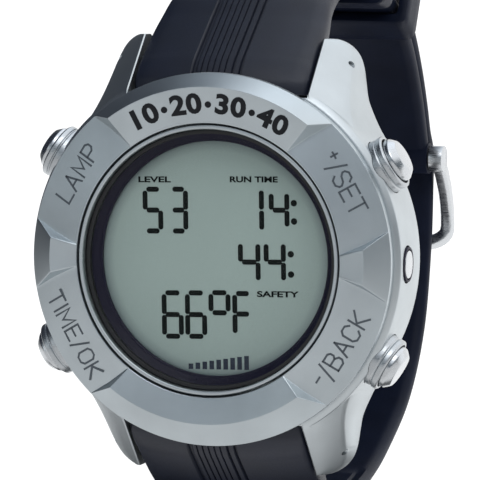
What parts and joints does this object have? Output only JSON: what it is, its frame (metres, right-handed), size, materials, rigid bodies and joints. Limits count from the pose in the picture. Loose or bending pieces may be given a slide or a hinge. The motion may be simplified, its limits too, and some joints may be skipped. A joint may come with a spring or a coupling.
{
  "type": "dive computer",
  "caption": "Watch-style dive computer: round steel case with lugs, faceted bezel, glass over a segment display, side buttons and a buckled rubber strap.",
  "frame": {"origin": "centre of the case back's outer face", "axes": "+Y out of the case back towards the wrist, so the face looks along -Y; +Z towards 12 o'clock; +X towards 3 o'clock"},
  "size_m": [0.051, 0.0818, 0.0758],
  "materials": {
    "case_steel": "bead-blasted satin stainless steel",
    "bezel_steel": "satin stainless steel with engraved and filled marks",
    "back_steel": "circular brushed stainless steel",
    "polished_steel": "polished stainless steel",
    "collar_steel": "turned stainless steel",
    "buckle_steel": "brushed stainless steel",
    "bar_steel": "plain stainless steel",
    "screw_steel": "slotted stainless screw",
    "spring_steel": "bright spring steel",
    "battery_steel": "nickel-plated battery can",
    "sensor_steel": "steel sensor can",
    "mineral_glass": "clear mineral glass",
    "gloss_black": "glossy near-black plastic",
    "display": "grey-green liquid crystal display with dark segments",
    "light_guide": "white light guide",
    "contact_rubber": "striped conductive rubber",
    "module_plastic": "dark moulded plastic",
    "board_green": "green solder mask",
    "chip_black": "black moulded package",
    "buzzer_brass": "brass sounder disc",
    "seal_rubber": "black nitrile rubber",
    "strap_rubber": "blue-black satin moulded rubber with ribs",
    "keeper_rubber": "blue-black satin moulded rubber"
  },
  "bodies": {
    "root": {"case_body": "case_steel", "bezel": "bezel_steel", "case_back": "back_steel", "crystal": "mineral_glass", "crystal_gasket": "seal_rubber", "dial_ring": "gloss_black", "lcd_panel": "display", "backlight_panel": "light_guide", "zebra_strip_twelve": "contact_rubber", "zebra_strip_six": "contact_rubber", "module_frame": "module_plastic", "circuit_board": "board_green", "processor": "chip_black", "battery": "battery_steel", "battery_clip": "spring_steel", "pressure_sensor": "sensor_steel", "sensor_seal": "seal_rubber", "buzzer_disc": "buzzer_brass", "case_back_gasket": "seal_rubber", "contact_stud": "polished_steel", "contact_ring": "gloss_black", "strap_upper": "strap_rubber", "strap_lower": "strap_rubber", "keeper_fixed": "keeper_rubber", "buckle_bar": "bar_steel", "spring_bar_upper": "bar_steel", "spring_bar_lower": "bar_steel", "case_back_screw_1": "screw_steel", "case_back_screw_2": "screw_steel", "case_back_screw_3": "screw_steel", "case_back_screw_4": "screw_steel", "button_collar_plus": "collar_steel", "button_oring_plus": "seal_rubber", "button_spring_plus": "spring_steel", "button_collar_light": "collar_steel", "button_oring_light": "seal_rubber", "button_spring_light": "spring_steel", "button_collar_mode": "collar_steel", "button_oring_mode": "seal_rubber", "button_spring_mode": "spring_steel", "button_collar_minus": "collar_steel", "button_oring_minus": "seal_rubber", "button_spring_minus": "spring_steel"},
    "button_plus": {"button_cap_plus": "polished_steel"},
    "button_light": {"button_cap_light": "polished_steel"},
    "button_mode": {"button_cap_mode": "polished_steel"},
    "button_minus": {"button_cap_minus": "polished_steel"},
    "buckle_frame_body": {"buckle_frame": "buckle_steel"},
    "buckle_tongue_body": {"buckle_tongue": "buckle_steel"},
    "keeper_free_body": {"keeper_free": "keeper_rubber"},
    "pin_upper_right": {"spring_pin_upper_right": "bar_steel"},
    "pin_upper_left": {"spring_pin_upper_left": "bar_steel"},
    "pin_lower_right": {"spring_pin_lower_right": "bar_steel"},
    "pin_lower_left": {"spring_pin_lower_left": "bar_steel"}
  },
  "joints": [
    {"name": "plus_press", "type": "slide", "parent": "root", "child": "button_plus", "axis": [-0.866, 0, -0.5], "range_m": [0, 0.001], "stiffness_N_per_m": 1500, "springref_m": -0.0005, "deforming": ["button_spring_plus"]},
    {"name": "light_press", "type": "slide", "parent": "root", "child": "button_light", "axis": [0.866, 0, -0.5], "range_m": [0, 0.001], "stiffness_N_per_m": 1500, "springref_m": -0.0005, "deforming": ["button_spring_light"]},
    {"name": "mode_press", "type": "slide", "parent": "root", "child": "button_mode", "axis": [0.866, 0, 0.5], "range_m": [0, 0.001], "stiffness_N_per_m": 1500, "springref_m": -0.0005, "deforming": ["button_spring_mode"]},
    {"name": "minus_press", "type": "slide", "parent": "root", "child": "button_minus", "axis": [-0.866, 0, 0.5], "range_m": [0, 0.001], "stiffness_N_per_m": 1500, "springref_m": -0.0005, "deforming": ["button_spring_minus"]},
    {"name": "buckle_hinge", "type": "hinge", "parent": "root", "child": "buckle_frame_body", "pos_m": [0, 0.0568, 0.0092], "axis": [1, 0, 0], "range_deg": [0, 6]},
    {"name": "tongue_hinge", "type": "hinge", "parent": "buckle_frame_body", "child": "buckle_tongue_body", "pos_m": [0, 0.0568, 0.0092], "axis": [1, 0, 0], "range_deg": [0, 10]},
    {"name": "keeper_slide", "type": "slide", "parent": "root", "child": "keeper_free_body", "axis": [0, 0.9886, -0.1506], "range_m": [-0.0015, 0.0015]},
    {"name": "pin_upper_right_retract", "type": "slide", "parent": "root", "child": "pin_upper_right", "axis": [-1, 0, 0], "range_m": [0, 0.0015], "stiffness_N_per_m": 500, "springref_m": -0.0005},
    {"name": "pin_upper_left_retract", "type": "slide", "parent": "root", "child": "pin_upper_left", "axis": [1, 0, 0], "range_m": [0, 0.0015], "stiffness_N_per_m": 500, "springref_m": -0.0005},
    {"name": "pin_lower_right_retract", "type": "slide", "parent": "root", "child": "pin_lower_right", "axis": [-1, 0, 0], "range_m": [0, 0.0015], "stiffness_N_per_m": 500, "springref_m": -0.0005},
    {"name": "pin_lower_left_retract", "type": "slide", "parent": "root", "child": "pin_lower_left", "axis": [1, 0, 0], "range_m": [0, 0.0015], "stiffness_N_per_m": 500, "springref_m": -0.0005}
  ]
}
